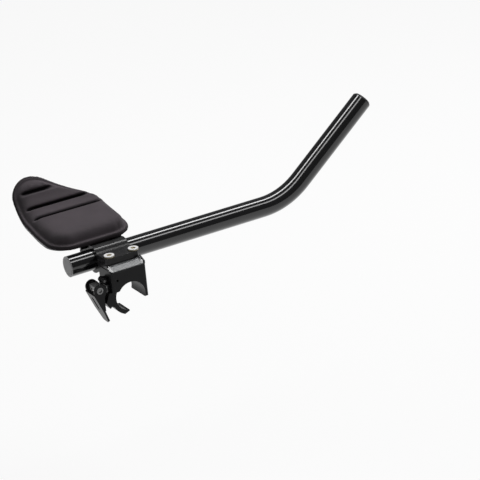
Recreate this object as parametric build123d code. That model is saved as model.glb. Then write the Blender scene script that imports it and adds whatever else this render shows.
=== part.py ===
from build123d import *
import math
import os

# Sizes are in millimetres. The origin is on the handlebar's axis, in the middle of the clamp.
# +X points inboard along the handlebar, +Y forward along the extension, +Z up.

# Handlebar and extension tube
bar_d = 31.8
tube_d = 22.2
tube_wall = 1.6
tube_offset = 26.5
tube_rise = 33.5
tail_reach = 48.0
bend_corner = 217.0
bend_angle = 39.0
bend_r = 80.0
tip_run = 140.0

# End plugs of the tube
plug_depth = 11.0
plug_rib_t = 3.0
tail_flange_t = 2.0
tail_proud = 0.3
tip_inset = 0.5
tip_flange_t = 2.4
tip_edge = 1.6

# Handlebar clamp block
clamp_w = 30.0
clamp_front_wall = 3.2
clamp_rear_wall = 4.2
clamp_top_wall = 15.3
front_lip = 5.0
rear_ledge = 8.5
block_chamfer = 0.8
block_rear_chamfer = 2.0
block_rib_t = 1.6
block_rib_rise = 2.5
grub_d = 2.6
grub_from_back = 6.0
grub_rise = 21.3
grub_depth = 6.0

# Jaw, its hinge and its wear plate
hinge_drop = 11.0
knuckle_r = 3.0
hinge_pin_d = 3.0
lug_w = 4.8
jaw_ear_w = 2.0
jaw_w = 22.0
jaw_gap = 0.4
jaw_wall_t = 2.6
jaw_wall_w = 15.6
jaw_heel = 7.0
jaw_heel_rise = -2.0
toe_back = 3.0
toe_drop = 8.6
notch_back = 0.8
notch_drop = 6.6
claw_t = 4.6
claw_from = 205.0
claw_taper = 248.0
claw_to = 262.0
claw_tip_t = 1.2
cam_pad_t = 1.0

# Draw stud, cross pin and cam lever
stud_d = 4.0
stud_rise = 13.7
stud_bite = 7.0
slot_play = 1.4
trunnion = 7.8
journal_d = 7.2
pivot_socket = 4.0
pivot_socket_depth = 1.2
lever_w = 20.0
lever_open = 135.0
lever_lean = 22.5
cam_high = 7.8
cam_low = 4.25
cam_front = 40.0
cam_gap = 0.5
cheek_t = 3.6
boss_r = 6.8
boss_t = 1.8
cheek_l = 23.0
cheek_foot = 3.0
cheek_knee = 9.6
cheek_knee_off = -0.4
blade_t = 2.2
blade_off = 8.1
blade_start = 1.0
blade_l = 39.5
blade_tip_w = 11.0
blade_corner_r = 4.0
lever_slot_w = 4.0
lever_slot_from = 6.0
lever_slot_l = 17.0

# Extension clamp and its bolts
grip_l = 38.0
grip_wall = 3.5
split_rise = 2.4
split_gap = 0.6
ear_t = 6.6
ear_in = 32.0
outer_ear_t = 4.5
ear_out = 28.0
ear_corner_r = 3.0
cradle_ear_t = 5.6
shoulder_lip = 0.6
shoulder_chamfer = 2.0
tongue_t = 1.5
tongue_l = 16.0
tongue_reach = 10.0
cap_bolt_d = 6.0
cap_bolt_from_tube = 26.2
cap_bolt_ahead = 1.5
cap_bolt_span = 28.0
cap_bolt_bite = 12.0
cap_head_d = 10.8
cap_head_h = 1.9
cap_socket = 5.0
cap_socket_depth = 1.2

# Armrest arm and its fasteners
arm_len = 62.0
arm_root_w = 48.0
arm_tip_w = 30.0
arm_t = 4.5
arm_gusset = 9.0
arm_bolt_d = 5.0
arm_bolt_from_tube = 21.6
arm_bolt_span = 19.0
arm_bolt_seat = 2.6
arm_head_af = 8.0
arm_head_h = 3.4
shell_screw_d = 4.0
shell_screw_from_tube = 48.0
shell_screw_span = 18.0
shell_screw_head_af = 7.0
shell_screw_head_t = 1.1
thread_end = 0.8

# Armrest shell, strips and pad, as layers over the shell's underside
pad_in = 0.5
bed_rise = 12.0
bed_tilt = 5.6
bed_bend = 74.5
flank_r = 55.0
flank_end = 73.5
shell_t = 2.5
shell_in = 8.0
shell_inset = 2.0
strip_t = 1.4
strip_from = 26.0
strip_w = 16.0
strip_l = 44.0
strip_span = 53.5
strip_middle = -5.2
pad_t = 11.5
pad_flange_t = 2.4
pad_front = 33.0
pad_front_out = 39.5
pad_rear = -59.5
pad_rear_turn = 45.0
pad_rear_out = -51.0
pad_shoulder = 96.0
pad_tip_front = -19.5
inboard_corner_r = 23.5
rear_turn_r = 30.0
shoulder_r = 37.0
tip_front_r = 34.0
tip_rear_r = 22.0
body_inset = 5.0
groove_r = 2.4
groove_from_rear = 9.0
groove_runs = (-4.5, 21.0, 45.0)
window_w = 12.0
window_l = 14.0
window_r = 4.0
window_angle = 55.0
window_from_front = 18.0
window_pitch = 21.0
window_count = 2

# Clearances and tool lengths
fit_play = 0.05
side_play = 0.4
far = 200.0

# Places that follow from the sizes above
bar_r = bar_d / 2
tube_r = tube_d / 2
front_y = bar_r + clamp_front_wall
rear_y = -(bar_r + clamp_rear_wall)
block_top = bar_r + clamp_top_wall
grip_y = (front_y + rear_y) / 2
grip_r = tube_r + grip_wall
split_z = tube_rise + split_rise
cap_floor = split_z + split_gap / 2
cap_ear_top = cap_floor + ear_t
arm_floor = cap_floor + outer_ear_t
cradle_top = split_z - split_gap / 2
cap_bolt_x = cap_bolt_from_tube - tube_offset
cap_bolt_y = grip_y + cap_bolt_ahead
arm_bolt_x = -tube_offset - arm_bolt_from_tube
jaw_r = bar_r + fit_play
jaw_front = rear_y - jaw_gap
jaw_back = jaw_front - jaw_wall_t
jaw_roof = rear_ledge - jaw_gap
hinge_y = jaw_front - knuckle_r
hinge_z = block_top - hinge_drop
hinge_half = lug_w / 2 + side_play + jaw_ear_w
jaw_wall_end = hinge_z - knuckle_r - side_play
cam_face = jaw_back - cam_pad_t
pivot_y = cam_face - cam_gap - cam_high
cheek_in = lever_w / 2 - cheek_t
slot_low = stud_rise - stud_d / 2 - slot_play
slot_high = stud_rise + stud_d / 2 + slot_play
tilt = math.radians(bed_tilt)
slant = math.radians((bed_tilt + flank_end) / 2)
pad_low = shell_t + strip_t
pad_top = pad_low + pad_t

# Drawing planes: side view, section across the tube, plan of the armrest and slanted view of its flank
SIDE = Plane.YZ
SECTION = Plane(origin=(-tube_offset, 0, tube_rise), x_dir=(-1, 0, 0), z_dir=(0, 1, 0))
PLAN = Plane(origin=(-tube_offset, 0, 0), x_dir=(-1, 0, 0), z_dir=(0, 0, -1))
SLANT = Plane(
    origin=(-tube_offset, 0, tube_rise),
    x_dir=(-math.cos(slant), 0, math.sin(slant)),
    z_dir=(-math.sin(slant), 0, -math.cos(slant)),
)


def polar(radius, degrees):
    """Point at a radius and an angle from the origin of a drawing."""
    angle = math.radians(degrees)
    return (radius * math.cos(angle), radius * math.sin(angle))


def on_bar(radius, height, side):
    """Point of the side view at a height on a circle round the handlebar, in front (1) or behind (-1)."""
    return (side * math.sqrt(radius ** 2 - height ** 2), height)


def across(face, low, high):
    """Side-view face made solid between two places along the handlebar."""
    return extrude(Pos(low, 0, 0) * (SIDE * face), amount=high - low)


def along(face, low, high):
    """Section face made solid between two places along the tube."""
    return extrude(Pos(0, low, 0) * (SECTION * face), amount=high - low)


def rod_x(radius, y, z, low, high):
    """Cylinder along the handlebar."""
    return across(Pos(y, z) * Circle(radius), low, high)


def rod_y(radius, x, z, low, high):
    """Cylinder along the tube."""
    return extrude(Plane(origin=(x, low, z), z_dir=(0, 1, 0)) * Circle(radius), amount=high - low)


def rod_z(radius, x, y, low, high):
    """Upright cylinder."""
    return extrude(Pos(x, y, low) * Circle(radius), amount=high - low)


def block(low, high):
    """Box between two corners."""
    size = [b - a for a, b in zip(low, high)]
    return Pos(*low) * Box(*size, align=Align.MIN)


def rounded(points, radii):
    """Face of a closed outline with a radius of its own at each corner."""
    return make_face(FilletPolyline(*points, radius=radii, close=True))


def hexagon(across_flats):
    """Hexagonal face."""
    return RegularPolygon(across_flats / 2, 6, major_radius=False)


def pair(middle, span):
    """Two places either side of a middle."""
    return (middle - span / 2, middle + span / 2)


def extension_tube():
    """Bent tube, open at both ends."""
    lean = math.radians(bend_angle)
    tip = (bend_corner + tip_run * math.cos(lean), tube_rise + tip_run * math.sin(lean))
    line = FilletPolyline((-tail_reach, tube_rise), (bend_corner, tube_rise), tip, radius=bend_r)
    path = Pos(-tube_offset, 0, 0) * (SIDE * line)
    wall = Circle(tube_r) - Circle(tube_r - tube_wall)
    start = Plane(origin=(-tube_offset, -tail_reach, tube_rise), z_dir=(0, 1, 0))
    return sweep(start * wall, path=path)


def end_plug(radius, flange_t):
    """Plug that points along +Z on two crossed ribs, with its flange below Z = 0."""
    flange = rod_z(radius, 0, 0, -flange_t, 0)
    reach = math.sqrt((tube_r - tube_wall - fit_play) ** 2 - (plug_rib_t / 2) ** 2)
    rib = block((-reach, -plug_rib_t / 2, 0), (reach, plug_rib_t / 2, plug_depth))
    return flange + rib + Rot(0, 0, 90) * rib


def tail_plug():
    """Plug pressed into the rear end of the tube."""
    root = tail_flange_t - tail_proud - tail_reach
    place = Plane(origin=(-tube_offset, root, tube_rise), z_dir=(0, 1, 0))
    return place * end_plug(tube_r - tube_wall - fit_play, tail_flange_t)


def tip_plug():
    """Bevelled plug at the front end of the tube."""
    lean = math.radians(bend_angle)
    forward = Vector(0, math.cos(lean), math.sin(lean))
    corner = Vector(-tube_offset, bend_corner, tube_rise)
    place = Plane(origin=corner + forward * tip_run, z_dir=forward * -1)
    plug = end_plug(tube_r - tip_inset, tip_flange_t)
    return place * chamfer(plug.edges().sort_by(Axis.Z)[0], length=tip_edge)


def hinge_leaf(low, high, root_y):
    """Rounded lug round the jaw's hinge, reaching forward to root_y."""
    lug = Pos(hinge_y, hinge_z) * Circle(knuckle_r)
    web = Pos((hinge_y + root_y) / 2, hinge_z) * Rectangle(root_y - hinge_y, 2 * knuckle_r)
    return across(lug + web, low, high)


def shoulder(rise):
    """Section face of the wedge between the block and the cap's inboard ear, its slope raised by a rise."""
    low = block_top - tube_rise
    top = cradle_top - tube_rise
    inner = -tube_offset - clamp_w / 2
    wedge = [(-ear_in, low), (inner, low), (inner, low + shoulder_lip + rise), (-ear_in, top + rise)]
    return make_face(Polyline(*wedge, close=True))


def clamp_body():
    """Upper block of the handlebar clamp, with a front rib, the seat of the cradle and a hinge lug."""
    front_end = on_bar(bar_r, -front_lip, 1)
    rear_end = on_bar(bar_r, rear_ledge, -1)
    outline = Polyline(
        front_end,
        (front_y, -front_lip),
        (front_y, block_top),
        (rear_y, block_top),
        (rear_y, rear_ledge),
        rear_end,
    )
    seat = ThreePointArc(rear_end, (0, bar_r), front_end)
    body = across(make_face([*outline.edges(), seat]), -clamp_w / 2, clamp_w / 2)
    rim = [e for e in body.edges().filter_by(GeomType.LINE) if abs(e.center().X) > clamp_w / 2 - fit_play]
    rear = [e for e in rim if abs(e.center().Y - rear_y) < fit_play]
    body = chamfer([e for e in rim if e not in rear], length=block_chamfer)
    rear = body.edges().filter_by(Axis.Z).group_by(Axis.Y)[0]
    body = chamfer(rear, length=block_rear_chamfer)
    body += along(shoulder(block_rib_rise), front_y - block_rib_t, front_y)
    body -= rod_y(grip_r + fit_play, -tube_offset, tube_rise, -far, far)
    body += hinge_leaf(-lug_w / 2, lug_w / 2, rear_y + clamp_rear_wall / 2)
    body -= rod_x(hinge_pin_d / 2, hinge_y, hinge_z, -lug_w, lug_w)
    body -= rod_y(stud_d / 2 + fit_play, 0, stud_rise, rear_y - far, rear_y + stud_bite)
    body -= rod_x(grub_d / 2, rear_y + grub_from_back, grub_rise, clamp_w / 2 - grub_depth, far)
    for y in pair(cap_bolt_y, cap_bolt_span):
        body -= rod_z(cap_bolt_d / 2 + fit_play, cap_bolt_x, y, block_top - cap_bolt_bite, far)
    return body


def stud_slot():
    """Slot for the draw stud through the jaw and its wear plate."""
    half = stud_d / 2 + slot_play / 2
    return block((-half, jaw_back - far, slot_low), (half, jaw_front + far, slot_high))


def lower_jaw():
    """Claw that hangs from the hinge behind the block and hooks under the handlebar."""
    roof_end = on_bar(jaw_r, jaw_roof, -1)
    claw_root = polar(jaw_r + claw_t, claw_from)
    claw_bend = polar(jaw_r + claw_t, claw_taper)
    tip_in = polar(jaw_r, claw_to)
    outline = Polyline(
        roof_end,
        (jaw_back, jaw_roof),
        (jaw_front - jaw_heel, jaw_heel_rise),
        (jaw_front - toe_back, -toe_drop),
        (jaw_front - notch_back, -notch_drop),
        claw_root,
    )
    back = ThreePointArc(claw_root, polar(jaw_r + claw_t, (claw_from + claw_taper) / 2), claw_bend)
    tip = Polyline(claw_bend, polar(jaw_r + claw_tip_t, claw_to), tip_in)
    middle = (claw_to + math.degrees(math.atan2(roof_end[1], roof_end[0]))) / 2
    seat = ThreePointArc(tip_in, polar(jaw_r, middle), roof_end)
    jaw = across(make_face([*outline.edges(), back, *tip.edges(), seat]), -jaw_w / 2, jaw_w / 2)
    half = jaw_wall_w / 2
    jaw += block((-half, jaw_back, jaw_roof - jaw_gap), (half, jaw_front, jaw_wall_end))
    near = lug_w / 2 + side_play
    for low, high in ((near, hinge_half), (-hinge_half, -near)):
        jaw += block((low, jaw_back, jaw_roof), (high, jaw_front, hinge_z))
        jaw += rod_x(knuckle_r, hinge_y, hinge_z, low, high)
    jaw -= rod_x(hinge_pin_d / 2 + fit_play, hinge_y, hinge_z, -far, far)
    return jaw - stud_slot()


def jaw_hinge_pin():
    """Pin through the block's lug and the jaw's two ears."""
    return rod_x(hinge_pin_d / 2, hinge_y, hinge_z, -hinge_half, hinge_half)


def cam_pad():
    """Wear plate on the back of the jaw where the cams press."""
    half = jaw_wall_w / 2
    plate = block((-half, cam_face, jaw_roof + cam_pad_t), (half, jaw_back, jaw_wall_end - side_play))
    return plate - stud_slot()


def clamp_stud():
    """Threaded stud from the block to the lever's pivot."""
    end = pivot_y - trunnion / 2 + thread_end
    return rod_y(stud_d / 2, 0, stud_rise, end, rear_y + stud_bite - side_play)


def lever_pivot():
    """Trunnion block on the stud, with a journal for each cheek of the lever."""
    half = lever_w / 2
    side = trunnion / 2
    reach = cheek_in - side_play
    pivot = block((-reach, pivot_y - side, stud_rise - side), (reach, pivot_y + side, stud_rise + side))
    pivot += rod_x(journal_d / 2, pivot_y, stud_rise, -half, half)
    pivot -= across(Pos(pivot_y, stud_rise) * hexagon(pivot_socket), half - pivot_socket_depth, far)
    return pivot - rod_y(stud_d / 2 + fit_play, 0, stud_rise, pivot_y - far, pivot_y + far)


def blade_point(run, off):
    """Point of the side view a run down the blade from the pivot and off to its rear."""
    down = math.radians(lever_lean - 90)
    y = run * math.cos(down) + off * math.sin(down)
    z = run * math.sin(down) - off * math.cos(down)
    return (pivot_y + y, stud_rise + z)


def cam_point(radius, degrees):
    """Point of the side view round the lever's pivot."""
    y, z = polar(radius, degrees)
    return (pivot_y + y, stud_rise + z)


def lever_cheek():
    """Side face of the lever: a spiral cam that runs into a tapered arm."""
    steps = 6
    falls = [k / (steps - 1) for k in range(steps)]
    cam = Spline(*[cam_point(cam_high + (cam_low - cam_high) * k, lever_open * k) for k in falls])
    arm = Polyline(
        cam_point(cam_low, lever_open),
        blade_point(blade_start, blade_off),
        blade_point(cheek_l, blade_off),
        blade_point(cheek_l, blade_off - cheek_foot),
        blade_point(cheek_knee, cheek_knee_off),
        cam_point(cam_high, -cam_front),
    )
    nose = ThreePointArc(*[cam_point(cam_high, a) for a in (-cam_front, -cam_front / 2, 0)])
    return make_face([cam, *arm.edges(), nose])


def qr_lever():
    """Cam lever: two cheeks with bosses round the pivot, joined by a slotted blade."""
    half = lever_w / 2
    cheek = lever_cheek()
    lever = across(cheek, cheek_in, half) + across(cheek, -half, -cheek_in)
    lever += rod_x(boss_r, pivot_y, stud_rise, half - boss_t, half)
    lever += rod_x(boss_r, pivot_y, stud_rise, -half, boss_t - half)
    rear = Vector(0, *[b - a for a, b in zip(blade_point(0, 0), blade_point(0, 1))])
    face = Plane(origin=(0, *blade_point(0, blade_off)), x_dir=(1, 0, 0), z_dir=rear)
    tip = blade_tip_w / 2
    outline = [(-half, -blade_start), (half, -blade_start), (half, -cheek_l)]
    outline += [(tip, -blade_l), (-tip, -blade_l), (-half, -cheek_l)]
    blade = rounded(outline, [blade_t / 2, blade_t / 2] + [blade_corner_r] * 4)
    slot = SlotOverall(lever_slot_l, lever_slot_w, rotation=90)
    blade -= Pos(0, -lever_slot_from - lever_slot_l / 2) * slot
    lever += extrude(face * blade, amount=-blade_t)
    return lever - rod_x(journal_d / 2 + fit_play, pivot_y, stud_rise, -far, far)


def plate_tongue(play):
    """Tongue of the shoulder plate that the cradle's inboard ear holds down, with a play all round."""
    rear, front = pair(cap_bolt_y, tongue_l + 2 * play)
    inner = ear_in - tube_offset
    return block((inner - tongue_reach - play, rear, block_top), (inner, front, block_top + tongue_t + play))


def shoulder_plate():
    """Wedge beside the cap's inboard ear, chamfered at the rear and raised to the block's rib in front."""
    rear = grip_y - grip_l / 2
    front = front_y - block_rib_t - fit_play
    edge_z = block_top + shoulder_lip
    fall = (clamp_w / 2 - ear_in + tube_offset, 0, edge_z - cradle_top)
    view = Plane(origin=(clamp_w / 2, 0, edge_z), x_dir=(0, 1, 0), z_dir=fall)
    cut = shoulder_chamfer
    profile = [(rear, -far), (front, -far), (front, cut), (front - cut, 0), (rear + cut, 0), (rear, -cut)]
    slope = extrude(view * make_face(Polyline(*profile, close=True)), amount=far, both=True)
    return (along(shoulder(block_rib_rise), rear, front) & slope) + plate_tongue(0)


def extension_cradle():
    """Lower half of the extension clamp, nested on the block, with an ear either side of the tube."""
    top = cradle_top - tube_rise
    low = block_top - tube_rise
    section = Circle(grip_r) + Pos(ear_out / 2, top - cradle_ear_t / 2) * Rectangle(ear_out, cradle_ear_t)
    section += make_face(Polyline((0, low), (-ear_in, low), (-ear_in, top), (0, top), close=True))
    section -= Pos(0, top + far / 2) * Rectangle(far, far)
    section -= Circle(tube_r)
    cradle = along(section, *pair(grip_y, grip_l)) - plate_tongue(fit_play)
    for y in pair(cap_bolt_y, cap_bolt_span):
        cradle -= rod_z(cap_bolt_d / 2 + fit_play, cap_bolt_x, y, 0, far)
    for y in pair(grip_y, arm_bolt_span):
        cradle -= rod_z(arm_bolt_d / 2 + fit_play, arm_bolt_x, y, 0, far)
    return cradle


def extension_cap():
    """Upper half of the extension clamp, with an ear either side of the tube."""
    low = cap_floor - tube_rise
    section = Circle(grip_r) + Pos(-ear_in / 2, low + ear_t / 2) * Rectangle(ear_in, ear_t)
    section += Pos(ear_out / 2, low + outer_ear_t / 2) * Rectangle(ear_out, outer_ear_t)
    section -= Pos(0, low - far / 2) * Rectangle(far, far)
    section -= Circle(tube_r)
    cap = along(section, *pair(grip_y, grip_l))
    corners = cap.edges().filter_by(Axis.Z).group_by(Axis.X)
    cap = fillet(corners[0] + corners[-1], radius=ear_corner_r)
    for y in pair(cap_bolt_y, cap_bolt_span):
        cap -= rod_z(cap_bolt_d / 2 + fit_play, cap_bolt_x, y, 0, far)
    for y in pair(grip_y, arm_bolt_span):
        cap -= rod_z(arm_bolt_d / 2 + fit_play, arm_bolt_x, y, 0, far)
    return cap


def cap_bolts():
    """Two wide-head socket bolts through the cap's inboard ear into the block."""
    seat = cap_ear_top
    end = block_top - cap_bolt_bite + thread_end
    bolt = rod_z(cap_bolt_d / 2, 0, 0, end, seat) + rod_z(cap_head_d / 2, 0, 0, seat, seat + cap_head_h)
    bolt -= extrude(Pos(0, 0, seat + cap_head_h - cap_socket_depth) * hexagon(cap_socket), amount=far)
    return Compound([Pos(cap_bolt_x, y, 0) * bolt for y in pair(cap_bolt_y, cap_bolt_span)])


def bed_point(s, up):
    """Section point on the armrest's flat bed, s outboard of the tube, up over the shell's underside."""
    rise = bed_rise + (s - pad_in) * math.tan(tilt)
    return (s - up * math.sin(tilt), rise + up * math.cos(tilt))


def flank_point(degrees, up):
    """Section point on the armrest's curved flank, up over the shell's underside."""
    s, h = bed_point(bed_bend, flank_r)
    y, z = polar(flank_r - up, degrees - 90)
    return (s + y, h + z)


def armrest_layer(low, high):
    """Layer of the armrest between two heights over the shell's underside, wider than its outline."""
    ends = []
    for up in (low, high):
        bend = bed_point(bed_bend, up)
        line = Line(bed_point(pad_in - pad_t, up), bend)
        stop = flank_point(90, up)
        arc = ThreePointArc(bend, flank_point((90 + bed_tilt) / 2, up), stop)
        ends.append((line, arc))
    (line_a, arc_a), (line_b, arc_b) = ends
    first = Line(line_a @ 0, line_b @ 0)
    last = Line(arc_a @ 1, arc_b @ 1)
    return along(make_face([line_a, arc_a, last, arc_b, line_b, first]), -far, far)


def slant_reach(point):
    """How far outboard a section point lies in the slanted view."""
    return point[0] * math.cos(slant) + point[1] * math.sin(slant)


def shrunk(points, radii, inset):
    """Face of an anticlockwise outline with rounded corners, moved in by an inset."""
    corners = []
    for before, here, after in zip(points[-1:] + points[:-1], points, points[1:] + points[:1]):
        back = (Vector(*here) - Vector(*before)).normalized()
        ahead = (Vector(*after) - Vector(*here)).normalized()
        share = inset / (1 + back.dot(ahead))
        corners.append((here[0] - (back.Y + ahead.Y) * share, here[1] + (back.X + ahead.X) * share))
    return rounded(corners, [r - inset for r in radii])


def flank_line(up):
    """Front edge of the flank in the slanted view: its shoulder and its tip."""
    turn = slant_reach(bed_point(pad_shoulder, up))
    end = slant_reach(flank_point(flank_end, up))
    return (turn, pad_front_out), (end, pad_tip_front)


def armrest_prisms(inner, inset, up):
    """Solids that cut the armrest's outline: upright at the inboard corners, slanted at the flank."""
    slope = (pad_front_out - pad_front) / (pad_shoulder - pad_in)
    front_near, front_far = [(s, pad_front + (s - pad_in) * slope) for s in (inner, far)]
    plan = [(inner, pad_rear), (far, pad_rear), front_far, front_near]
    upright = shrunk(plan, [inboard_corner_r] * 4, inset)
    corner, tip = flank_line(up)
    rear_turn = slant_reach(bed_point(pad_rear_turn, up))
    view = [(-far, pad_rear), (rear_turn, pad_rear), (tip[0], pad_rear_out)]
    view += [tip, corner, (-far, pad_front_out)]
    radii = [rear_turn_r, rear_turn_r, tip_rear_r, tip_front_r, shoulder_r, shoulder_r]
    flank = shrunk(view, radii, inset)
    return extrude(PLAN * upright, amount=far, both=True) & extrude(SLANT * flank, amount=far, both=True)


def bed_plane(s, y):
    """Plane on the shell's underside, square to the bed."""
    h = bed_point(s, 0)[1]
    normal = (math.sin(tilt), 0, math.cos(tilt))
    return Plane(origin=(-tube_offset - s, y, tube_rise + h), x_dir=(0, 1, 0), z_dir=normal)


def screw_planes():
    """Planes of the two screws that hold the shell."""
    return [bed_plane(shell_screw_from_tube, y) for y in pair(grip_y, shell_screw_span)]


def shell_screw_hole():
    """Hole through shell and arm, square to the bed."""
    return rod_z(shell_screw_d / 2 + fit_play, 0, 0, -far, far)


def armrest_arm():
    """Arm from the cap's outboard ear to the shell, with a channel for the heads of its bolts."""
    foot = arm_floor - tube_rise
    start = grip_r + fit_play
    gusset_s = ear_out + arm_gusset
    section = make_face(
        Polyline(
            (start, foot),
            (ear_out, foot),
            (gusset_s, bed_point(gusset_s, 0)[1] - arm_t),
            (arm_len, bed_point(arm_len, 0)[1] - arm_t),
            bed_point(arm_len, 0),
            bed_point(start, 0),
            close=True,
        )
    )
    (root_rear, root_front), (tip_rear, tip_front) = pair(grip_y, arm_root_w), pair(grip_y, arm_tip_w)
    plan = [(start, root_rear), (arm_len, tip_rear), (arm_len, tip_front), (start, root_front)]
    taper = extrude(PLAN * make_face(Polyline(*plan, close=True)), amount=far, both=True)
    arm = along(section, -far, far) & taper
    channel_out, channel_in = pair(arm_bolt_x, arm_head_af + 2 * side_play)
    arm -= block((channel_out, -far, arm_floor + arm_bolt_seat), (channel_in, far, far))
    for y in pair(grip_y, arm_bolt_span):
        arm -= rod_z(arm_bolt_d / 2 + fit_play, arm_bolt_x, y, 0, far)
    for place in screw_planes():
        arm -= place * shell_screw_hole()
    return arm


def arm_bolts():
    """Two bolts that hold the arm and close the outboard ears, their heads kept from turning by the arm."""
    seat = arm_floor + arm_bolt_seat
    end = cradle_top - cradle_ear_t + thread_end
    head = extrude(Pos(0, 0, seat) * Rot(0, 0, 30) * hexagon(arm_head_af), amount=arm_head_h)
    bolt = head + rod_z(arm_bolt_d / 2, 0, 0, end, seat)
    return Compound([Pos(arm_bolt_x, y, 0) * bolt for y in pair(grip_y, arm_bolt_span)])


def shell_screws():
    """Two thin-head screws that hold the shell down on the arm."""
    screw = rod_z(shell_screw_d / 2, 0, 0, thread_end - arm_t, shell_t)
    screw += extrude(Pos(0, 0, shell_t) * hexagon(shell_screw_head_af), amount=shell_screw_head_t)
    return Compound([place * screw for place in screw_planes()])


def shell_windows():
    """Window cuts of the flank, in a row behind its front edge and turned with it."""
    (turn, front), (end, tip_front) = flank_line(0)
    slope = (tip_front - front) / (end - turn)
    reach = slant_reach(flank_point(window_angle, 0))
    first = front + (reach - turn) * slope - window_from_front
    window = RectangleRounded(window_l, window_w, window_r, rotation=math.degrees(math.atan(slope)))
    places = [Pos(reach, first - k * window_pitch) for k in range(window_count)]
    return [extrude(SLANT * (p * window), amount=far, both=True) for p in places]


def armrest_shell():
    """Moulded cup under the pad, with windows in its flank."""
    shell = armrest_layer(0, shell_t) & armrest_prisms(shell_in, shell_inset, 0)
    for cut in shell_windows():
        shell -= cut
    for place in screw_planes():
        shell -= place * shell_screw_hole()
    return shell


def pad_strips():
    """Hook-and-loop strips between the shell and the pad."""
    layer = armrest_layer(shell_t, pad_low)
    strips = []
    for y in pair(strip_middle, strip_span):
        low = (-tube_offset - strip_from - strip_l, y - strip_w / 2, 0)
        high = (-tube_offset - strip_from, y + strip_w / 2, far)
        strips.append(layer & block(low, high))
    return Compound(strips)


def run_point(run, up):
    """Section point a run past the bend, measured along the pad's underside."""
    if run < 0:
        return bed_point(bed_bend + run * math.cos(tilt), up)
    return flank_point(bed_tilt + math.degrees(run / (flank_r - pad_low)), up)


def armrest_pad():
    """Foam pad: a thin flange, a thick body and relief grooves where it bends up the flank."""
    pad = armrest_layer(pad_low, pad_low + pad_flange_t) & armrest_prisms(pad_in, 0, pad_low)
    pad += armrest_layer(pad_low, pad_top) & armrest_prisms(pad_in, body_inset, pad_low)
    for run in groove_runs:
        s, h = run_point(run, pad_top)
        rear = pad_rear + groove_from_rear
        pad -= rod_y(groove_r, -tube_offset - s, tube_rise + h, rear, far)
    return pad


parts = {
    "clamp_body": clamp_body(),
    "lower_jaw": lower_jaw(),
    "jaw_hinge_pin": jaw_hinge_pin(),
    "cam_pad": cam_pad(),
    "clamp_stud": clamp_stud(),
    "lever_pivot": lever_pivot(),
    "qr_lever": qr_lever(),
    "shoulder_plate": shoulder_plate(),
    "extension_cradle": extension_cradle(),
    "extension_cap": extension_cap(),
    "cap_bolts": cap_bolts(),
    "extension_tube": extension_tube(),
    "tail_plug": tail_plug(),
    "tip_plug": tip_plug(),
    "armrest_arm": armrest_arm(),
    "arm_bolts": arm_bolts(),
    "armrest_shell": armrest_shell(),
    "shell_screws": shell_screws(),
    "pad_strips": pad_strips(),
    "armrest_pad": armrest_pad(),
}
os.makedirs("parts", exist_ok=True)
for name, shape in parts.items():
    export_step(shape, f"parts/{name}.step")
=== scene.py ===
import math

import bmesh
import bpy
from bpy.props import FloatProperty, FloatVectorProperty, PointerProperty
from bpy.types import Operator, Panel, PropertyGroup
from mathutils import Matrix, Vector
from mathutils.kdtree import KDTree


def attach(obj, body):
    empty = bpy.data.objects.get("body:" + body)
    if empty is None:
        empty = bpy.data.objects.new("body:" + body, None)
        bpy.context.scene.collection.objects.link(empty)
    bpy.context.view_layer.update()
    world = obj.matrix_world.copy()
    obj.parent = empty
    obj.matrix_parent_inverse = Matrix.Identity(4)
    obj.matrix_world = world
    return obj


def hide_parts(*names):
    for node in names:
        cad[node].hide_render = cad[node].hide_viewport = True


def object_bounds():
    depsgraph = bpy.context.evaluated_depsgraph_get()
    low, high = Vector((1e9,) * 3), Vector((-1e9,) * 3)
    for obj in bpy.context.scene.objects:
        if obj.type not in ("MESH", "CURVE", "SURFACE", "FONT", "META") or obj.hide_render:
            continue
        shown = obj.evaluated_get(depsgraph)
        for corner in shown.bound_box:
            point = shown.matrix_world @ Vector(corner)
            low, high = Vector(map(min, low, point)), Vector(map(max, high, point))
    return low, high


bl_info = {
    "name": "Aero handlebar extension",
    "version": (1, 0, 0),
    "blender": (4, 5, 0),
    "location": "3D View > Sidebar > Aero bar",
    "description": "Finishes the aero handlebar extension and shapes its armrest pad",
    "category": "Object",
}

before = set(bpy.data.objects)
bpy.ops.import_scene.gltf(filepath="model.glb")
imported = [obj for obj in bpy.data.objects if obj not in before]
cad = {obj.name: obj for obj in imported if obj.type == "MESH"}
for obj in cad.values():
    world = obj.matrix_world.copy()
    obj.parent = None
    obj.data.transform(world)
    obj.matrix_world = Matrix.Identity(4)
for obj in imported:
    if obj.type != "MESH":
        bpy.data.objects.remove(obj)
cad_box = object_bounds()

# Pad's rim: the middle part of the flange's height that is its edge, and how far forward its front faces
RIM_LOW = 0.25
RIM_HIGH = 0.75
RIM_TURN = 0.3

# Painted shade on the pad rim's edge: how dark it is, and how far in it has gone, in widths of that edge
RIM_PAINTED_SHADE = 0.5
RIM_SHADE_FADE = 1.5

# Painted shade at a groove's foot: the share of its depth where it begins, and where it is fully dark
SHADED_FOOT_START = 7 / 32
SHADED_FOOT_FULL = 17 / 32

# Distance under which loose corners of a solid's mesh are one, and how much the pad's crown is evened out
MERGE_GAP = 1e-6
SMOOTHING = 0.5

# Machined edges: rays that round them in the shading, and the match of the rounded normal with the plain one
# on a flat place and on a sharp edge
BEVEL_SAMPLES = 4
EDGE_FLAT = 0.995
EDGE_SHARP = 0.8

# Wear on the alloy's edges: how much of it shows, and its colour
EDGE_WEAR = 0.3
WORN_EDGE = (0.3, 0.3, 0.31)

# Middle range of a noise, which is stretched over the tones or the roughness of a finish
NOISE_LOW = 0.3
NOISE_HIGH = 0.7

# Draw lines on the tube, per metre across, along and up
DRAW_LINES = (900.0, 12.0, 900.0)

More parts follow.
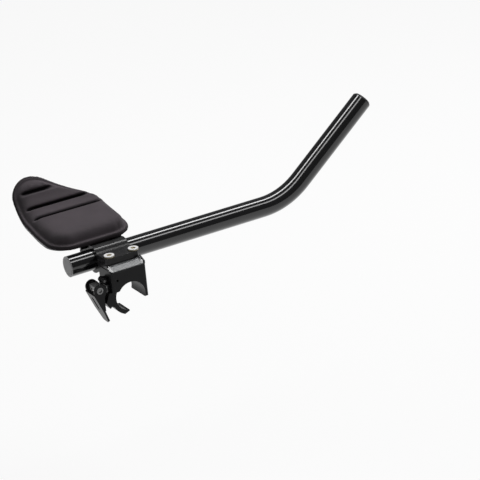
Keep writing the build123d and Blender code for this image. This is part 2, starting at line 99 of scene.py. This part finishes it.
# Squares along each side of the floor, the film's width in millimetres and the camera's reach in metres
FLOOR_SQUARES = 8
FILM_WIDTH = 36.0
VIEW_REACH = 50.0

WHITE = (1.0, 1.0, 1.0, 1.0)


def colour(name, description, default):
    """Colour setting."""
    return FloatVectorProperty(
        name=name, description=description, default=default, subtype="COLOR", size=3, min=0.0, max=1.0
    )


def number(name, description, default, unit="NONE"):
    """Number setting, plain or with a unit."""
    return FloatProperty(name=name, description=description, default=default, unit=unit)


def fraction(name, description, default):
    """Setting from 0 to 1."""
    return FloatProperty(
        name=name, description=description, default=default, subtype="FACTOR", min=0.0, max=1.0
    )


def length(name, description, default):
    """Length setting in metres."""
    return FloatProperty(name=name, description=description, default=default, unit="LENGTH", precision=5)


def angle(name, description, degrees):
    """Angle setting."""
    return FloatProperty(name=name, description=description, default=math.radians(degrees), subtype="ANGLE")


class FinishSettings(PropertyGroup):
    """Colours of the metal and plastic, and sizes that their finishes need."""

    black_alloy: colour("Black alloy", "Satin black anodised clamp parts", (0.007, 0.007, 0.008))
    tube_black: colour("Tube black", "Gloss black anodised tube", (0.006, 0.006, 0.007))
    # A lighter copy of the clamp's black anodising, so that the cap's top reads as lit: painted light
    cap_alloy_painted_light: colour("Cap alloy", "Black anodised extension clamp", (0.032, 0.032, 0.033))
    grey_alloy: colour("Grey alloy", "Satin grey shoulder plate", (0.135, 0.138, 0.142))
    silver: colour("Silver", "Polished heads of the cap's bolts", (0.97, 0.965, 0.95))
    gold: colour("Gold", "Passivated sockets of the cap's bolts", (0.4, 0.33, 0.16))
    socket_depth: length("Socket depth", "Depth of the sockets in the cap's bolts", 0.0012)
    steel: colour("Steel", "Plated screws, bolts and stud", (0.6, 0.59, 0.57))
    dark_steel: colour("Dark steel", "Lever's pivot, hinge pin and wear plate", (0.2, 0.2, 0.2))
    shell_grey: colour("Shell grey", "Moulded armrest shell", (0.36, 0.36, 0.37))
    plug_grey: colour("Plug grey", "Tail plug", (0.46, 0.46, 0.465))
    plug_black: colour("Plug black", "Tip plug", (0.02, 0.02, 0.021))
    strip_black: colour("Strip black", "Hook-and-loop strips", (0.02, 0.02, 0.02))
    edge_radius: length("Edge radius", "Rounding of machined edges in the shading", 0.00035)


class PadSettings(PropertyGroup):
    """Form and finish of the armrest pad. The tube's and the bed's places repeat the solids' own."""

    foam: colour("Foam", "Charcoal foam skin", (0.066, 0.0565, 0.063))
    voxel: length("Voxel", "Mesh size of the pad's skin", 0.0007)
    tube_offset: length("Tube offset", "Tube's axis outboard of the clamp's middle", 0.0265)
    tube_rise: length("Tube rise", "Tube's axis over the axis of the clamp's seat", 0.0335)
    bed_start: length("Bed start", "Inboard edge of the bed, outboard of the tube", 0.0005)
    bed_rise: length("Bed rise", "Bed over the tube's axis at its inboard edge", 0.012)
    bed_tilt: angle("Bed tilt", "Tilt of the bed up towards its flank", 5.6)
    bed_bend: length("Bed bend", "Where the bed turns up into the flank", 0.0745)
    flank_radius: length("Flank radius", "Radius of the flank under the shell", 0.055)
    base: length("Base", "Pad's underside over the shell's underside", 0.0039)
    flange: length("Flange", "Thickness of the pad's rim", 0.0024)
    thickness: length("Thickness", "Whole thickness of the pad from its bend outboard", 0.0118)
    wedge: length("Wedge", "How much thicker the pad is at its inboard edge", 0.0034)
    lip_rise: length("Lip rise", "How far the rim swells over the flange", 0.002)
    lip_round: length("Lip round", "Width of the rim's rounded edge", 0.0016)
    flange_width: length("Flange width", "Width of the flat rim", 0.004)
    # Width of the rim's edge that gets painted shade
    rim_shade_width: length("Rim width", "Width of the dark edge of the rim", 0.0013)
    crown_width: length("Crown width", "How far in the top takes to reach its full height", 0.021)
    front_width: length("Front width", "The same at the front edge", 0.011)
    crown_power: number("Crown power", "How full the crown's shoulder is", 5.0)
    groove_first: length("First groove", "Inboard relief groove, past the bend", -0.0055)
    groove_second: length("Second groove", "Middle relief groove, past the bend", 0.0187)
    groove_third: length("Third groove", "Outboard relief groove, past the bend", 0.0435)
    groove_depth: length("Groove depth", "Depth of the relief grooves", 0.0038)
    groove_wall: length("Groove wall", "Width of a groove's steep outboard side", 0.0014)
    first_wall: length("First wall", "The same on the inboard groove", 0.002)
    groove_ramp: length("Groove ramp", "Width of a groove's gentle inboard side", 0.006)
    roll_depth: length("Roll depth", "How far the panel outboard of a groove rolls down to it", 0.0012)
    roll_width: length("Roll width", "Width of that roll", 0.006)
    groove_start: length("Groove start", "Where a groove begins, in from the rear rim", 0.004)
    groove_fade: length("Groove fade", "How long a groove takes to reach its depth", 0.009)
    groove_end: length("Groove end", "How long a groove takes to run out at the front rim", 0.018)


class StageSettings(PropertyGroup):
    """Camera, lamps and floor."""

    azimuth: angle("Azimuth", "Camera's turn round the part", 59.805)
    elevation: angle("Elevation", "Camera's height over the horizon", 22.387)
    roll: angle("Roll", "Camera's roll", -5.022)
    lens: number("Lens", "Focal length in millimetres", 135.67, "CAMERA")
    distance: length("Distance", "Camera's distance along its view axis", 1.810458)
    aim_inboard: length("Aim inboard", "Camera's aim, inboard of the clamp's middle", 0.059)
    shift_right: length("Shift right", "View axis to the right of that aim", 0.086898)
    shift_up: length("Shift up", "View axis over that aim", 0.069733)
    floor_drop: length("Floor drop", "Floor under the lowest piece", 0.16)
    floor_size: length("Floor size", "Half the width of the floor", 9.0)
    floor_colour: colour("Floor colour", "Pale floor", (0.62, 0.62, 0.62))
    floor_glow: fraction("Floor glow", "Share of plain white in the floor's look", 0.92)
    sky: number("Sky", "Strength of the even sky", 0.13)
    lamp_distance: length("Lamp distance", "Strips, card and soft box from the tube's axis", 1.3)
    strip_width: length("Strip width", "Width of a strip lamp", 0.25)
    strip_length: length("Strip length", "Length of a strip lamp, along the tube", 2.4)
    high_turn: angle("High turn", "Angle of the upper strip from the horizon, round the tube", 102.0)
    high_power: number("High power", "Power of the upper strip in watts", 24.0, "POWER")
    low_turn: angle("Low turn", "Angle of the inboard strip from the horizon, round the tube", 60.5)
    low_power: number("Low power", "Power of the inboard strip in watts", 11.0, "POWER")
    box_size: length("Box size", "Side of the soft box", 0.9)
    box_turn: angle("Box turn", "Angle of the soft box from the horizon, round the tube", 105.0)
    box_ahead: length("Box ahead", "How far in front of the clamp the soft box is", 0.85)
    box_power: number("Box power", "Power of the soft box in watts", 27.0, "POWER")
    card_size: length("Card size", "Side of the bright card behind the clamp", 0.3)
    card_turn: angle("Card turn", "Direction of the card outboard of the rear", 30.7)
    card_lift: angle("Card lift", "Height of the card over the horizon", 40.9)
    card_power: number("Card power", "Power of the card in watts", 8.0, "POWER")


def connect(tree, node, inputs):
    """Links each input of a shader node to a socket or gives it a value."""
    for key, value in inputs.items():
        if isinstance(value, bpy.types.NodeSocket):
            tree.links.new(value, node.inputs[key])
        else:
            node.inputs[key].default_value = value


def shader_node(tree, kind, inputs=None, **options):
    """New shader node with its options and inputs set."""
    node = tree.nodes.new("ShaderNode" + kind)
    for name, value in options.items():
        setattr(node, name, value)
    connect(tree, node, inputs or {})
    return node


def blank_material(name):
    """New material with a principled shader and Object coordinates."""
    material = bpy.data.materials.new(name)
    material.use_nodes = True
    tree = material.node_tree
    tree.nodes.clear()
    shader = shader_node(tree, "BsdfPrincipled")
    shader_node(tree, "OutputMaterial", {"Surface": shader.outputs["BSDF"]})
    place = shader_node(tree, "TexCoord").outputs["Object"]
    return material, tree, shader, place


def noise(tree, place, scale, detail, roughness=0.55):
    """Noise factor at a scale per metre."""
    inputs = {"Vector": place, "Scale": scale, "Detail": detail, "Roughness": roughness}
    return shader_node(tree, "TexNoise", inputs).outputs["Fac"]


def spread(tree, factor, low=0.0, high=1.0):
    """Factor stretched from its middle range to low and high."""
    inputs = {"Value": factor, "From Min": NOISE_LOW, "From Max": NOISE_HIGH, "To Min": low, "To Max": high}
    return shader_node(tree, "MapRange", inputs).outputs["Result"]


def blend(tree, factor, first, second):
    """Colour mixed by a factor."""
    node = shader_node(tree, "Mix", {"Factor": factor}, data_type="RGBA")
    for key, value in (("A", first), ("B", second)):
        socket = next(s for s in node.inputs if s.name == key and s.type == "RGBA")
        if isinstance(value, bpy.types.NodeSocket):
            tree.links.new(value, socket)
        else:
            socket.default_value = (*value, 1.0)
    return next(s for s in node.outputs if s.type == "RGBA")


def scaled(rgb, share):
    """Colour made darker or lighter."""
    return tuple(min(1.0, c * share) for c in rgb)


def toned(tree, factor, base, dark, light):
    """Base colour that drifts between a darker and a lighter tone."""
    return blend(tree, factor, scaled(base, dark), scaled(base, light))


def rounded_normal(tree, radius):
    """Normal that rounds sharp edges in the shading."""
    return shader_node(tree, "Bevel", {"Radius": radius}, samples=BEVEL_SAMPLES).outputs["Normal"]


def edge_wear(tree, normal):
    """Factor that rises towards worn edges, where the rounded normal leaves the plain one."""
    plain = shader_node(tree, "NewGeometry").outputs["Normal"]
    match = shader_node(tree, "VectorMath", {0: normal, 1: plain}, operation="DOT_PRODUCT").outputs["Value"]
    inputs = {"Value": match, "From Min": EDGE_FLAT, "From Max": EDGE_SHARP, "To Max": EDGE_WEAR}
    return shader_node(tree, "MapRange", inputs).outputs["Result"]


def bumped(tree, height, strength, depth, normal=None):
    """Normal bumped by a height."""
    inputs = {"Height": height, "Strength": strength, "Distance": depth}
    if normal is not None:
        inputs["Normal"] = normal
    return shader_node(tree, "Bump", inputs).outputs["Normal"]


def anodised(name, base, edge_radius, rough, shine):
    """Anodised alloy: fine blast grain, uneven sheen and edges worn a little lighter."""
    material, tree, shader, place = blank_material(name)
    grain = noise(tree, place, scale=2600.0, detail=2.0)
    cloud = noise(tree, place, scale=60.0, detail=4.0)
    tone = toned(tree, spread(tree, cloud), base, dark=0.8, light=1.25)
    normal = rounded_normal(tree, edge_radius)
    connect(tree, shader, {
        "Base Color": blend(tree, edge_wear(tree, normal), tone, WORN_EDGE),
        "Roughness": spread(tree, grain, *rough),
        "Normal": bumped(tree, grain, strength=0.04, depth=0.00004, normal=normal),
        "Specular IOR Level": shine,
    })
    return material


def gloss_tube(name, base):
    """Gloss black tube: deep clear finish with faint draw lines along it."""
    material, tree, shader, place = blank_material(name)
    drawn = shader_node(tree, "Mapping", {"Vector": place, "Scale": DRAW_LINES}).outputs["Vector"]
    lines = noise(tree, drawn, scale=1.0, detail=2.0)
    cloud = noise(tree, place, scale=45.0, detail=3.0)
    connect(tree, shader, {
        "Base Color": toned(tree, cloud, base, dark=0.8, light=1.3),
        "Roughness": spread(tree, lines, low=0.12, high=0.17),
        "Normal": bumped(tree, lines, strength=0.02, depth=0.00001),
        "Specular IOR Level": 0.4,
        "Coat Weight": 0.8,
        "Coat IOR": 1.45,
        "Coat Roughness": 0.05,
    })
    return material


def plated(name, base, edge_radius, metallic, socket=None):
    """Plated steel: turned grain and small stains, and in its sockets another colour below a height."""
    material, tree, shader, place = blank_material(name)
    grain = noise(tree, place, scale=1800.0, detail=2.0)
    stain = noise(tree, place, scale=220.0, detail=4.0)
    tone = toned(tree, spread(tree, stain), base, dark=0.9, light=1.08)
    if socket:
        colour_below, low, high = socket
        rise = shader_node(tree, "SeparateXYZ", {0: place}).outputs["Z"]
        inputs = {"Value": rise, "From Min": low, "From Max": high}
        tone = blend(tree, shader_node(tree, "MapRange", inputs).outputs["Result"], colour_below, tone)
    normal = rounded_normal(tree, edge_radius)
    connect(tree, shader, {
        "Base Color": tone,
        "Roughness": spread(tree, grain, low=0.24, high=0.36),
        "Normal": bumped(tree, grain, strength=0.15, depth=0.00003, normal=normal),
        "Metallic": metallic,
    })
    return material


def moulded(name, base, rough, grain_scale):
    """Moulded plastic: fine spark grain and a soft change of tone."""
    material, tree, shader, place = blank_material(name)
    grain = noise(tree, place, grain_scale, detail=3.0, roughness=0.6)
    cloud = noise(tree, place, scale=30.0, detail=4.0)
    connect(tree, shader, {
        "Base Color": toned(tree, spread(tree, cloud), base, dark=0.92, light=1.06),
        "Roughness": spread(tree, grain, *rough),
        "Normal": bumped(tree, grain, strength=0.2, depth=0.00005),
        "Specular IOR Level": 0.45,
    })
    return material


def hook_and_loop(name, base):
    """Hook-and-loop tape: tiny rows of loops, lighter in the middle."""
    material, tree, shader, place = blank_material(name)
    inputs = {"Vector": place, "Scale": 1400.0, "Randomness": 0.35}
    loops = shader_node(tree, "TexVoronoi", inputs).outputs["Distance"]
    connect(tree, shader, {
        "Base Color": blend(tree, loops, scaled(base, share=1.6), scaled(base, share=0.5)),
        "Normal": bumped(tree, loops, strength=0.8, depth=0.0004),
        "Roughness": 0.95,
    })
    return material


def foam_skin(name, base):
    """Charcoal foam skin: a matt leathery grain with a soft sheen, and painted shade in its creases."""
    material, tree, shader, place = blank_material(name)
    grain = noise(tree, place, scale=1500.0, detail=4.0, roughness=0.6)
    cloud = noise(tree, place, scale=28.0, detail=4.0)
    tone = toned(tree, spread(tree, cloud), base, dark=0.88, light=1.12)
    speck = blend(tree, spread(tree, grain, high=0.35), tone, scaled(base, share=1.5))
    # Painted shade from the pad's mesh: darkens the skin on the rim's edge and at the grooves' feet
    painted_shade = shader_node(tree, "Attribute", attribute_name="painted_shade").outputs["Fac"]
    connect(tree, shader, {
        "Base Color": blend(tree, painted_shade, speck, scaled(base, share=0.05)),
        "Roughness": spread(tree, grain, low=0.55, high=0.72),
        "Normal": bumped(tree, grain, strength=0.25, depth=0.0001),
        "Specular IOR Level": 0.04,
        "Sheen Weight": 0.1,
        "Sheen Roughness": 0.4,
    })
    return material


def finish_nodes(material, *names):
    """Gives CAD nodes their finish."""
    for name in names:
        slots = cad[name].data.materials
        slots.clear()
        slots.append(material)


class AERO_OT_clamp(Operator):
    """Finishes the handlebar clamp, its jaw and its lever"""

    bl_idname = "aero.clamp"
    bl_label = "Handlebar clamp"

    def execute(self, context):
        s = context.scene.aero_finish
        black = anodised(
            "satin_black_alloy", tuple(s.black_alloy), s.edge_radius, rough=(0.26, 0.36), shine=0.17
        )
        finish_nodes(black, "clamp_body", "lower_jaw", "qr_lever")
        return {"FINISHED"}


class AERO_OT_grip(Operator):
    """Finishes the extension clamp: grey shoulder plate, black cradle, cap and arm"""

    bl_idname = "aero.grip"
    bl_label = "Extension clamp"

    def execute(self, context):
        s = context.scene.aero_finish
        grey = anodised(
            "satin_grey_alloy", tuple(s.grey_alloy), s.edge_radius, rough=(0.26, 0.32), shine=0.4
        )
        # Painted light: the cap, cradle and arm get a lighter copy of the black alloy, so that the cap's top
        # reads as lit
        black = anodised(
            "cap_black_alloy_painted_light", tuple(s.cap_alloy_painted_light), s.edge_radius, rough=(0.12, 0.18), shine=0.16
        )
        finish_nodes(grey, "shoulder_plate")
        finish_nodes(black, "extension_cradle", "extension_cap", "armrest_arm")
        return {"FINISHED"}


class AERO_OT_fasteners(Operator):
    """Finishes the bolts, screws, stud, pins and wear plate"""

    bl_idname = "aero.fasteners"
    bl_label = "Fasteners"

    def execute(self, context):
        s = context.scene.aero_finish
        top = max(v.co.z for v in cad["cap_bolts"].data.vertices)
        socket = (tuple(s.gold), top - s.socket_depth, top - s.socket_depth / 2)
        heads = plated("silver_cap_bolts", tuple(s.silver), s.edge_radius, metallic=0.1, socket=socket)
        steel = plated("plated_steel", tuple(s.steel), s.edge_radius, metallic=0.9)
        dark = plated("dark_steel", tuple(s.dark_steel), s.edge_radius, metallic=0.6)
        finish_nodes(heads, "cap_bolts")
        finish_nodes(steel, "clamp_stud", "arm_bolts", "shell_screws")
        finish_nodes(dark, "jaw_hinge_pin", "cam_pad", "lever_pivot")
        return {"FINISHED"}


class AERO_OT_tube(Operator):
    """Finishes the extension tube and its two plugs"""

    bl_idname = "aero.tube"
    bl_label = "Extension tube"

    def execute(self, context):
        s = context.scene.aero_finish
        tail = moulded("tail_plug_grey", tuple(s.plug_grey), rough=(0.45, 0.6), grain_scale=1200.0)
        tip = moulded("tip_plug_black", tuple(s.plug_black), rough=(0.35, 0.5), grain_scale=1200.0)
        finish_nodes(gloss_tube("gloss_black_tube", tuple(s.tube_black)), "extension_tube")
        finish_nodes(tail, "tail_plug")
        finish_nodes(tip, "tip_plug")
        return {"FINISHED"}


class AERO_OT_shell(Operator):
    """Finishes the armrest shell and the strips on it"""

    bl_idname = "aero.shell"
    bl_label = "Armrest shell"

    def execute(self, context):
        s = context.scene.aero_finish
        shell = moulded("shell_satin_grey", tuple(s.shell_grey), rough=(0.35, 0.5), grain_scale=1600.0)
        finish_nodes(shell, "armrest_shell")
        finish_nodes(hook_and_loop("strip_loops", tuple(s.strip_black)), "pad_strips")
        return {"FINISHED"}


class ArmrestBed:
    """The armrest's bed: places along it, across it and over it."""

    def __init__(self, s):
        self.s = s
        self.out = Vector((-math.cos(s.bed_tilt), 0, math.sin(s.bed_tilt)))
        self.up = Vector((math.sin(s.bed_tilt), 0, math.cos(s.bed_tilt)))
        run = s.bed_bend - s.bed_start
        corner = Vector((-s.tube_offset - s.bed_start, 0, s.tube_rise + s.bed_rise))
        self.bend = corner + self.out * (run / math.cos(s.bed_tilt))
        self.middle = self.bend + self.up * s.flank_radius
        self.arc_radius = s.flank_radius - s.base

    def locate(self, point):
        """Run outboard of the bend, place along the tube and height over the shell's underside."""
        across = Vector((point.x, 0, point.z)) - self.middle
        run = across.dot(self.out)
        if run <= 0:
            return run, point.y, self.s.flank_radius + across.dot(self.up)
        turn = math.atan2(run, -across.dot(self.up))
        return turn * self.arc_radius, point.y, self.s.flank_radius - across.length

    def place(self, run, y, height):
        """Point at a run, a place along the tube and a height."""
        if run <= 0:
            flat = self.bend + self.out * run + self.up * height
        else:
            turn = run / self.arc_radius
            reach = self.s.flank_radius - height
            flat = self.middle + (self.out * math.sin(turn) - self.up * math.cos(turn)) * reach
        return Vector((flat.x, y, flat.z))


def apply_modifiers(piece):
    """Makes a piece's modifiers part of its mesh."""
    graph = bpy.context.evaluated_depsgraph_get()
    mesh = bpy.data.meshes.new_from_object(piece.evaluated_get(graph))
    piece.modifiers.clear()
    old = piece.data
    piece.data = mesh
    bpy.data.meshes.remove(old)


def remesh_skin(piece, voxel):
    """Makes a piece's skin of even quads."""
    remesh = piece.modifiers.new("Skin", "REMESH")
    remesh.mode = "VOXEL"
    remesh.voxel_size = voxel
    apply_modifiers(piece)


def pad_slab(bed, s):
    """Thin closed skin with the outline of the pad's flange."""
    work = bmesh.new()
    work.from_mesh(cad["armrest_pad"].data)
    bmesh.ops.remove_doubles(work, verts=work.verts, dist=MERGE_GAP)
    top = s.base + s.flange
    for v in work.verts:
        run, y, height = bed.locate(v.co)
        if height > top:
            v.co = bed.place(run, y, top)
    mesh = bpy.data.meshes.new("armrest_foam")
    work.to_mesh(mesh)
    work.free()
    piece = bpy.data.objects.new("armrest_foam", mesh)
    bpy.context.scene.collection.objects.link(piece)
    remesh_skin(piece, s.voxel)
    return piece


def smooth_step(value):
    """Value from 0 to 1 with soft ends."""
    share = min(1.0, max(0.0, value))
    return share * share * (3.0 - 2.0 * share)


def nearest_rim(points):
    """Function that gives the distance to the nearest of some points of the unrolled pad."""
    tree = KDTree(len(points))
    for k, (run, y) in enumerate(points):
        tree.insert((run, y, 0.0), k)
    tree.balance()
    return lambda run, y: tree.find((run, y, 0.0))[2]


class PadCrown:
    """Height of the pad's top: a rounded rim, a full crown and three relief grooves."""

    def __init__(self, bed, s, work):
        self.s = s
        rim, front, rear = [], [], []
        for v in work.verts:
            run, y, height = bed.locate(v.co)
            if RIM_LOW < (height - s.base) / s.flange < RIM_HIGH:
                rim.append((run, y))
                if v.normal.y > RIM_TURN:
                    front.append((run, y))
                else:
                    rear.append((run, y))
        self.rim_gap = nearest_rim(rim)
        self.front_gap = nearest_rim(front)
        self.rear_gap = nearest_rim(rear)
        self.grooves = (
            (s.groove_first, s.first_wall),
            (s.groove_second, s.groove_wall),
            (s.groove_third, s.groove_wall),
        )

    def shoulder(self, gap, width):
        """Share of the crown's height at a gap from the rim."""
        inside = (gap - self.s.flange_width) / width
        return 1.0 - (1.0 - min(1.0, max(0.0, inside))) ** self.s.crown_power

    def swell(self, run, y):
        """Share of the crown's height, from the nearer rim inwards."""
        front = self.shoulder(self.front_gap(run, y), self.s.front_width)
        return min(front, self.shoulder(self.rear_gap(run, y), self.s.crown_width))

    def dip(self, run, y):
        """Depth of the grooves: a rolled panel's steep edge over a gentle ramp."""
        s = self.s
        start = smooth_step((self.rear_gap(run, y) - s.groove_start) / s.groove_fade)
        depth = 0.0
        for middle, wall in self.grooves:
            aside = run - middle
            if aside < 0:
                step = (s.groove_depth + s.roll_depth) * max(0.0, 1.0 + aside / s.groove_ramp)
            else:
                step = s.groove_depth * max(0.0, 1.0 - aside / wall)
                step += s.roll_depth * max(0.0, 1.0 - aside / s.roll_width) ** 2
            depth = max(depth, step)
        return depth * start * smooth_step(self.front_gap(run, y) / s.groove_end)

    def height(self, run, y):
        """Height of the pad's top over its flange."""
        s = self.s
        lip = s.lip_rise * smooth_step(self.rim_gap(run, y) / s.lip_round)
        full = s.thickness + s.wedge * max(0.0, -run / (s.bed_bend - s.bed_start))
        return lip + self.swell(run, y) * (full - s.flange - s.lip_rise - self.dip(run, y))

    def painted_shade(self, run, y):
        """How much painted shade a place gets, on the rim's edge or at the foot of a groove."""
        # Painted shade: the rim's dark edge, and the dark foot of each groove
        rim_shade = RIM_PAINTED_SHADE * smooth_step(RIM_SHADE_FADE - self.rim_gap(run, y) / self.s.rim_shade_width)
        depth = self.dip(run, y) / (self.s.groove_depth + self.s.roll_depth)
        return max(rim_shade, smooth_step((depth - SHADED_FOOT_START) / (SHADED_FOOT_FULL - SHADED_FOOT_START)))


def crown_pad(piece, bed, s):
    """Raises the pad's top to its crown and stores the painted shade of its rim's edge and its grooves'
    feet.
    """
    work = bmesh.new()
    work.from_mesh(piece.data)
    work.normal_update()
    crown = PadCrown(bed, s, work)
    top = s.base + RIM_HIGH * s.flange
    for v in work.verts:
        run, y, height = bed.locate(v.co)
        if height > top:
            v.co = bed.place(run, y, height + crown.height(run, y))
    bmesh.ops.smooth_vert(
        work, verts=work.verts, factor=SMOOTHING, use_axis_x=True, use_axis_y=True, use_axis_z=True
    )
    work.to_mesh(piece.data)
    work.free()
    remesh_skin(piece, s.voxel)
    piece.data.shade_smooth()
    # Painted shade for the rim's edge and the grooves' feet, stored per point
    painted_shades = piece.data.attributes.new("painted_shade", "FLOAT", "POINT")
    for v, painted_shade in zip(piece.data.vertices, painted_shades.data):
        run, y, _ = bed.locate(v.co)
        painted_shade.value = crown.painted_shade(run, y)


class AERO_OT_pad(Operator):
    """Shapes the foam pad over its bed"""

    bl_idname = "aero.pad"
    bl_label = "Armrest pad"

    def execute(self, context):
        s = context.scene.aero_pad
        bed = ArmrestBed(s)
        piece = pad_slab(bed, s)
        crown_pad(piece, bed, s)
        piece.data.materials.append(foam_skin("charcoal_foam", tuple(s.foam)))
        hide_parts("armrest_pad")
        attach(piece, "frame")
        return {"FINISHED"}


def area_lamp(name, place, aim, sides, power):
    """Soft rectangular lamp that looks at a point, its second side along Y."""
    lamp = bpy.data.lights.new(name, "AREA")
    lamp.shape = "RECTANGLE"
    lamp.size, lamp.size_y = sides
    lamp.energy = power
    holder = bpy.data.objects.new(name, lamp)
    back = (place - aim).normalized()
    across = Vector((0, 1, 0)).cross(back).normalized()
    turn = Matrix((across, back.cross(across), back)).transposed()
    holder.matrix_world = Matrix.Translation(place) @ turn.to_4x4()
    bpy.context.scene.collection.objects.link(holder)
    return holder


def round_tube(turn):
    """Direction away from the tube, turned up from the inboard horizon."""
    return Vector((math.cos(turn), 0, math.sin(turn)))


def behind(turn, lift):
    """Direction to the rear, turned inboard and lifted over the horizon."""
    flat = math.cos(lift)
    return Vector((math.sin(turn) * flat, -math.cos(turn) * flat, math.sin(lift)))


class AERO_OT_stage(Operator):
    """Sets the floor, the light and the camera"""

    bl_idname = "aero.stage"
    bl_label = "Stage"

    def execute(self, context):
        s = context.scene.aero_stage
        self.floor(context, s)
        self.light(context, s)
        self.camera(context, s)
        context.scene.view_settings.view_transform = "Standard"
        return {"FINISHED"}

    def floor(self, context, s):
        """Pale floor under the part."""
        work = bmesh.new()
        drop = Matrix.Translation((0, 0, cad_box[0].z - s.floor_drop))
        bmesh.ops.create_grid(
            work, x_segments=FLOOR_SQUARES, y_segments=FLOOR_SQUARES, size=s.floor_size, matrix=drop
        )
        mesh = bpy.data.meshes.new("floor")
        work.to_mesh(mesh)
        work.free()
        floor = bpy.data.objects.new("floor", mesh)
        context.scene.collection.objects.link(floor)
        material, tree, shader, place = blank_material("pale_floor")
        cloud = noise(tree, place, scale=3.0, detail=2.0)
        tone = toned(tree, cloud, tuple(s.floor_colour), dark=0.99, light=1.01)
        connect(tree, shader, {"Base Color": tone, "Roughness": 0.9})
        self.whiten(tree, shader, s.floor_glow)
        mesh.materials.append(material)

    def whiten(self, tree, shader, share):
        """Draws the floor's look towards plain white where it is seen, mirrored or seen through."""
        path = shader_node(tree, "LightPath").outputs
        seen = path["Is Camera Ray"]
        for name in ("Is Glossy Ray", "Is Transmission Ray"):
            seen = shader_node(tree, "Math", {0: seen, 1: path[name]}, operation="MAXIMUM").outputs["Value"]
        factor = shader_node(tree, "Math", {0: seen, 1: share}, operation="MULTIPLY").outputs["Value"]
        white = shader_node(tree, "Emission", {"Color": WHITE, "Strength": 1.0})
        inputs = {0: factor, 1: shader.outputs["BSDF"], 2: white.outputs["Emission"]}
        mixed = shader_node(tree, "MixShader", inputs).outputs["Shader"]
        output = next(n for n in tree.nodes if n.type == "OUTPUT_MATERIAL")
        tree.links.new(mixed, output.inputs["Surface"])

    def light(self, context, s):
        """Even sky, two long strips and a card that the gloss mirrors, and a soft box over the pad."""
        world = bpy.data.worlds.new("studio")
        world.use_nodes = True
        context.scene.world = world
        sky = world.node_tree
        connect(sky, sky.nodes["Background"], {"Color": WHITE, "Strength": s.sky})
        pad = context.scene.aero_pad
        axis = Vector((-pad.tube_offset, 0, pad.tube_rise))
        strips = (("high_strip", s.high_turn, s.high_power), ("low_strip", s.low_turn, s.low_power))
        for name, turn, power in strips:
            place = axis + round_tube(turn) * s.lamp_distance
            strip = area_lamp(name, place, axis, (s.strip_width, s.strip_length), power)
            strip.visible_diffuse = False
        place = axis + round_tube(s.box_turn) * s.lamp_distance + Vector((0, s.box_ahead, 0))
        box = area_lamp("soft_box", place, axis, (s.box_size, s.box_size), s.box_power)
        box.visible_glossy = False
        place = axis + behind(-s.card_turn, s.card_lift) * s.lamp_distance
        card = area_lamp("bright_card", place, axis, (s.card_size, s.card_size), s.card_power)
        card.visible_diffuse = False

    def camera(self, context, s):
        """Camera at the photograph's viewing angle."""
        back = behind(s.azimuth, s.elevation)
        right = Vector((math.cos(s.azimuth), math.sin(s.azimuth), 0))
        up = back.cross(right)
        side = right * math.cos(s.roll) + up * math.sin(s.roll)
        top = up * math.cos(s.roll) - right * math.sin(s.roll)
        aim = Vector((s.aim_inboard, 0, 0))
        place = side * s.shift_right + top * s.shift_up + back * s.distance + aim
        lens = bpy.data.cameras.new("camera")
        lens.sensor_width = FILM_WIDTH
        lens.lens = s.lens
        lens.clip_end = VIEW_REACH
        holder = bpy.data.objects.new("camera", lens)
        holder.matrix_world = Matrix.Translation(place) @ Matrix((side, top, back)).transposed().to_4x4()
        context.scene.collection.objects.link(holder)
        context.scene.camera = holder


OPERATORS = (
    AERO_OT_clamp,
    AERO_OT_grip,
    AERO_OT_fasteners,
    AERO_OT_tube,
    AERO_OT_shell,
    AERO_OT_pad,
    AERO_OT_stage,
)
SETTINGS = (("aero_finish", FinishSettings), ("aero_pad", PadSettings), ("aero_stage", StageSettings))


class AERO_PT_sidebar(Panel):
    """Lists the pieces of the aero handlebar extension and their settings"""

    bl_idname = "AERO_PT_sidebar"
    bl_label = "Aero bar"
    bl_space_type = "VIEW_3D"
    bl_region_type = "UI"
    bl_category = "Aero bar"

    def draw(self, context):
        for operator in OPERATORS:
            self.layout.operator(operator.bl_idname)
        for name, group in SETTINGS:
            box = self.layout.box()
            for key in group.__annotations__:
                box.prop(getattr(context.scene, name), key)


def register():
    """Makes the settings, operators and panel known."""
    for name, group in SETTINGS:
        bpy.utils.register_class(group)
        setattr(bpy.types.Scene, name, PointerProperty(type=group))
    for operator in OPERATORS:
        bpy.utils.register_class(operator)
    bpy.utils.register_class(AERO_PT_sidebar)


def unregister():
    """Takes them away again."""
    bpy.utils.unregister_class(AERO_PT_sidebar)
    for operator in reversed(OPERATORS):
        bpy.utils.unregister_class(operator)
    for name, group in reversed(SETTINGS):
        delattr(bpy.types.Scene, name)
        bpy.utils.unregister_class(group)


def main():
    """Builds every piece, then the stage."""
    register()
    bpy.ops.aero.clamp()
    bpy.ops.aero.grip()
    bpy.ops.aero.fasteners()
    bpy.ops.aero.tube()
    bpy.ops.aero.shell()
    bpy.ops.aero.pad()
    bpy.ops.aero.stage()


if __name__ == "__main__":
    main()
